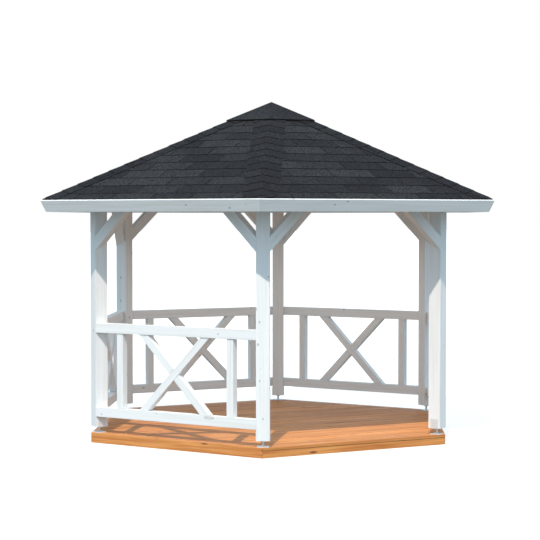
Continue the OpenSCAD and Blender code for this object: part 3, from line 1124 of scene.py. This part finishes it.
class GAZEBO_OT_screws(Operator):
    """Drives the screws of the deck boards, base plates and shoes"""

    bl_idname = "gazebo.screws"
    bl_label = "Screws"

    def execute(self, context):
        steel, deck = context.scene.gazebo_steel, context.scene.gazebo_deck
        points, facings = [], []
        pitch = 2 * DECK_HALF / deck.boards
        rim_margin = 0.03
        for row in range(deck.boards):
            low = -DECK_HALF + row * pitch
            for y in (low + deck.screw_edge, low + pitch - deck.screw_edge):
                reach = (DECK_HALF - deck.rim - abs(y) / 2) / math.cos(HALF_SIDE) - rim_margin
                for line in range(-3, 4):
                    x = line * deck.screw_spacing
                    if abs(x) < reach:
                        points.append((x, y, DECK_HIGH.z))
                        facings.append((0, 0, 1))
        # Four screws hold each base plate, and two run through each flange of a shoe.
        plate_x, plate_y, flange_heights = 0.043, 0.038, (0.022, 0.078)
        outer = POST_WIDTH / 2 + steel.shoe
        for turn in CORNER_TURNS:
            for x in (-1, 1):
                for y in (-1, 1):
                    spot = Vector((x * plate_x, -POST_RADIUS + y * plate_y, DECK_HIGH.z + steel.plate))
                    points.append(tuple(turn @ spot))
                    facings.append((0, 0, 1))
                for z in flange_heights:
                    spot = Vector((x * outer, -POST_RADIUS, POST_LOW.z - steel.shoe + z))
                    points.append(tuple(turn @ spot))
                    facings.append(tuple(turn.to_3x3() @ Vector((x, 0, 0))))
        places = bpy.data.meshes.new("screw places")
        places.from_pydata(points, [], [])
        facing = places.attributes.new("facing", "FLOAT_VECTOR", "POINT")
        facing.data.foreach_set("vector", [value for vector in facings for value in vector])
        head = Stock(160)
        radius, sunk, rim, crown, socket = steel.screw / 2, -0.002, 0.0004, 0.0009, -0.0004
        profile = [
            (0, sunk), (radius, sunk), (radius, rim), (radius * 0.8, crown), (radius * 0.38, crown),
            (radius * 0.34, socket), (0, socket),
        ]
        turned(profile, 12, Matrix.Identity(4), head)
        fixing = bpy.data.objects.new("screw head", head.mesh("screw head"))
        bpy.context.scene.collection.objects.link(fixing)
        laid = grown(places, fixing_tree(), {"Fixing": fixing, "Material": finish_of("zinc")})
        bpy.data.objects.remove(fixing)
        stock = Stock(161)
        stock.take(laid)
        stock.piece("screw_heads", "zinc", [])
        return {"FINISHED"}


class GAZEBO_OT_stage(Operator):
    """Sets the floor, the light and the camera"""

    bl_idname = "gazebo.stage"
    bl_label = "Stage"

    def execute(self, context):
        look, scene = context.scene.gazebo_stage, context.scene
        # The sheet lies half a millimetre low, so that it never shares a plane with the rim's underside.
        bpy.ops.mesh.primitive_plane_add(size=400, location=(0, 0, -0.0005))
        floor = context.active_object
        floor.name = "studio_floor"
        made, tree, shader = blank_material("Matt studio sheet")
        shader.inputs["Base Color"].default_value = opaque(look.floor)
        shader.inputs["Roughness"].default_value = 1.0
        shader.inputs["Emission Color"].default_value = (1, 1, 1, 1)
        shader.inputs["Emission Strength"].default_value = look.floor_glow
        floor.data.materials.append(made)
        floor.visible_diffuse = floor.visible_glossy = False

        world = bpy.data.worlds.new("Studio")
        world.use_nodes = True
        scene.world = world
        tree = world.node_tree
        tree.nodes.clear()
        way = add(tree, "ShaderNodeTexCoord").outputs["Generated"]
        height = add(tree, "ShaderNodeSeparateXYZ", inputs={0: way}).outputs["Z"]
        below, above = opaque(look.fill_below), opaque(look.fill_above)
        both = coated(tree, below, [(height, -0.1, 0.1, 1.0, above)])
        fill = add(tree, "ShaderNodeBackground", inputs={"Color": both, "Strength": look.fill_power})
        seen = add(tree, "ShaderNodeBackground", inputs={"Color": (1, 1, 1, 1), "Strength": 1.0})
        ray = add(tree, "ShaderNodeLightPath")
        shown = add(
            tree, "ShaderNodeMixShader",
            inputs={0: ray.outputs["Is Camera Ray"], 1: fill.outputs[0], 2: seen.outputs[0]},
        )
        add(tree, "ShaderNodeOutputWorld", inputs={"Surface": shown.outputs[0]})

        lamp = bpy.data.lights.new("Key light", "SUN")
        lamp.energy, lamp.color, lamp.angle = look.sun_power, look.sun_colour, math.radians(0.9)
        key = bpy.data.objects.new("Key light", lamp)
        scene.collection.objects.link(key)
        level = math.cos(look.sun_height)
        turn = look.sun_turn
        towards = Vector((math.sin(turn) * level, -math.cos(turn) * level, math.sin(look.sun_height)))
        key.rotation_mode = "QUATERNION"
        key.rotation_quaternion = towards.to_track_quat("Z", "Y")

        lamp = bpy.data.lights.new("Room fill", "AREA")
        lamp.shape, lamp.size = "DISK", look.room_width
        lamp.energy, lamp.color = look.room_power, look.room_colour
        room = bpy.data.objects.new("Room fill", lamp)
        room.location = (0, 0, look.room_height)
        room.visible_camera = False
        scene.collection.objects.link(room)

        lens = bpy.data.cameras.new("Camera")
        lens.lens, lens.sensor_width, lens.clip_end = look.lens, 36, 1000
        camera = bpy.data.objects.new("Camera", lens)
        scene.collection.objects.link(camera)
        turn, dip = look.camera_turn, look.camera_dip
        ahead = Vector((-math.sin(turn) * math.cos(dip), math.cos(turn) * math.cos(dip), -math.sin(dip)))
        camera.location = look.camera_place
        camera.rotation_mode = "QUATERNION"
        camera.rotation_quaternion = (-ahead).to_track_quat("Z", "Y")
        scene.camera = camera
        scene.view_settings.view_transform = "Standard"
        return {"FINISHED"}


class GAZEBO_PT_panel(Panel):
    """Lists the gazebo's pieces in the sidebar"""

    bl_idname = "GAZEBO_PT_panel"
    bl_label = "Garden Gazebo"
    bl_space_type = "VIEW_3D"
    bl_region_type = "UI"
    bl_category = "Gazebo"

    def draw(self, context):
        for operator in OPERATORS:
            self.layout.operator(operator.bl_idname)
        for name in SETTINGS:
            group = getattr(context.scene, name)
            box = self.layout.box()
            for key in group.__annotations__:
                box.prop(group, key)


OPERATORS = [
    GAZEBO_OT_stage, GAZEBO_OT_deck, GAZEBO_OT_posts, GAZEBO_OT_railings, GAZEBO_OT_roof_lining,
    GAZEBO_OT_shingles, GAZEBO_OT_hips, GAZEBO_OT_feet, GAZEBO_OT_screws,
]
SETTINGS = {
    "gazebo_timber": GazeboTimber, "gazebo_deck": GazeboDeck, "gazebo_roof": GazeboRoof,
    "gazebo_steel": GazeboSteel, "gazebo_stage": GazeboStage,
}


def register():
    for cls in [*SETTINGS.values(), *OPERATORS, GAZEBO_PT_panel]:
        bpy.utils.register_class(cls)
    for name, group in SETTINGS.items():
        setattr(bpy.types.Scene, name, PointerProperty(type=group))


def unregister():
    for name in SETTINGS:
        delattr(bpy.types.Scene, name)
    for cls in [GAZEBO_PT_panel, *reversed(OPERATORS), *reversed(SETTINGS.values())]:
        bpy.utils.unregister_class(cls)


def main():
    register()
    for operator in OPERATORS:
        group, name = operator.bl_idname.split(".")
        getattr(getattr(bpy.ops, group), name)()


if __name__ == "__main__":
    main()
